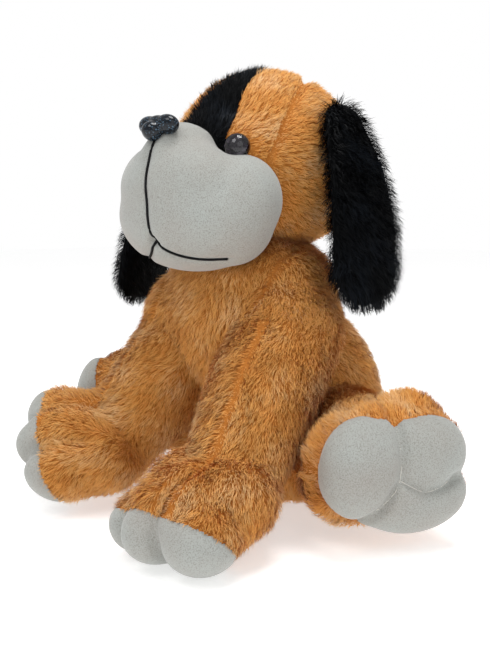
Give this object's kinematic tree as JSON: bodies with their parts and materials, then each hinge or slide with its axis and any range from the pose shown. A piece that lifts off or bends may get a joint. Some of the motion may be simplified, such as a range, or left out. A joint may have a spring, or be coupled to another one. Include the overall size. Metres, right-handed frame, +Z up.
{
  "type": "plush toy dog",
  "caption": "Sitting stuffed dog of short orange pile with black ears and forehead blaze, cream muzzle and soles; head, ears, legs and tail flex.",
  "frame": {"origin": "on the floor, under the middle of the toy's bounding box", "axes": "+Z up, the dog faces -Y, its left side is +X"},
  "size_m": [0.3252, 0.2642, 0.294],
  "materials": {
    "orange_plush": "short orange pile, matt",
    "black_plush": "longer black pile with a slight sheen",
    "cream_velour": "very short cream velour",
    "fibre_fill": "loose white fibre",
    "black_cord": "thin black cord",
    "cream_thread": "pulled sewing thread",
    "clear_dome": "clear polished dome",
    "eye_plastic": "dark plastic with glitter under the dome",
    "nose_plastic": "black plastic with silver glitter",
    "washer_plastic": "white washer inside the head"
  },
  "bodies": {
    "torso": {"chest_panel": "orange_plush", "body_left": "orange_plush", "body_right": "orange_plush", "seat_panel": "orange_plush", "body_stuffing": "fibre_fill"},
    "neck": {"neck_stuffing": "fibre_fill"},
    "head": {"forehead_blaze": "black_plush", "chin_panel": "cream_velour", "head_side_left": "orange_plush", "face_left": "orange_plush", "muzzle_left": "cream_velour", "eye_back_left": "eye_plastic", "eye_dome_left": "clear_dome", "eye_washer_left": "washer_plastic", "head_side_right": "orange_plush", "face_right": "orange_plush", "muzzle_right": "cream_velour", "eye_back_right": "eye_plastic", "eye_dome_right": "clear_dome", "eye_washer_right": "washer_plastic", "head_stuffing": "fibre_fill", "nose": "nose_plastic", "nose_washer": "washer_plastic", "mouth_cord_middle": "black_cord", "mouth_cord_left": "black_cord", "mouth_cord_right": "black_cord"},
    "tail": {"tail_left": "orange_plush", "tail_right": "orange_plush", "tail_stuffing": "fibre_fill"},
    "ear_left": {"ear_outer_left": "black_plush", "ear_inner_left": "black_plush"},
    "front_leg_left": {"front_leg_outer_left": "orange_plush", "front_leg_inner_left": "orange_plush", "front_leg_sole_left": "cream_velour", "front_leg_stuffing_left": "fibre_fill", "front_toe_thread_a_left": "cream_thread", "front_toe_thread_b_left": "cream_thread"},
    "hind_leg_left": {"hind_leg_outer_left": "orange_plush", "hind_leg_inner_left": "orange_plush", "hind_leg_sole_left": "cream_velour", "hind_leg_stuffing_left": "fibre_fill", "hind_toe_thread_left": "cream_thread"},
    "ear_right": {"ear_outer_right": "black_plush", "ear_inner_right": "black_plush"},
    "front_leg_right": {"front_leg_outer_right": "orange_plush", "front_leg_inner_right": "orange_plush", "front_leg_sole_right": "cream_velour", "front_leg_stuffing_right": "fibre_fill", "front_toe_thread_a_right": "cream_thread", "front_toe_thread_b_right": "cream_thread"},
    "hind_leg_right": {"hind_leg_outer_right": "orange_plush", "hind_leg_inner_right": "orange_plush", "hind_leg_sole_right": "cream_velour", "hind_leg_stuffing_right": "fibre_fill", "hind_toe_thread_right": "cream_thread"}
  },
  "joints": [
    {"name": "head_turn", "type": "hinge", "parent": "torso", "child": "neck", "pos_m": [0, 0.033, 0.23], "axis": [0, 0, 1], "range_deg": [-20, 20], "stiffness_Nm_per_rad": 1},
    {"name": "head_nod", "type": "hinge", "parent": "neck", "child": "head", "pos_m": [0, 0.033, 0.23], "axis": [1, 0, 0], "range_deg": [-8, 8], "stiffness_Nm_per_rad": 3},
    {"name": "tail_wag", "type": "hinge", "parent": "torso", "child": "tail", "pos_m": [0, 0.102, 0.044], "axis": [0, 0, 1], "range_deg": [-25, 25], "stiffness_Nm_per_rad": 0.2},
    {"name": "ear_left_lift", "type": "hinge", "parent": "head", "child": "ear_left", "pos_m": [0.068, 0.027, 0.263], "axis": [0, -1, 0], "range_deg": [0, 70]},
    {"name": "front_leg_left_lift", "type": "hinge", "parent": "torso", "child": "front_leg_left", "pos_m": [0.045, 0.008, 0.122], "axis": [-1, 0, 0], "range_deg": [0, 24], "stiffness_Nm_per_rad": 4},
    {"name": "hind_leg_left_swing", "type": "hinge", "parent": "torso", "child": "hind_leg_left", "pos_m": [0.056, 0.042, 0.05], "axis": [0, 0, 1], "range_deg": [0, 18], "stiffness_Nm_per_rad": 2},
    {"name": "ear_right_lift", "type": "hinge", "parent": "head", "child": "ear_right", "pos_m": [-0.068, 0.027, 0.263], "axis": [0, 1, 0], "range_deg": [0, 70]},
    {"name": "front_leg_right_lift", "type": "hinge", "parent": "torso", "child": "front_leg_right", "pos_m": [-0.045, 0.008, 0.122], "axis": [-1, 0, 0], "range_deg": [0, 24], "stiffness_Nm_per_rad": 4},
    {"name": "hind_leg_right_swing", "type": "hinge", "parent": "torso", "child": "hind_leg_right", "pos_m": [-0.056, 0.042, 0.05], "axis": [0, 0, -1], "range_deg": [0, 18], "stiffness_Nm_per_rad": 2}
  ]
}
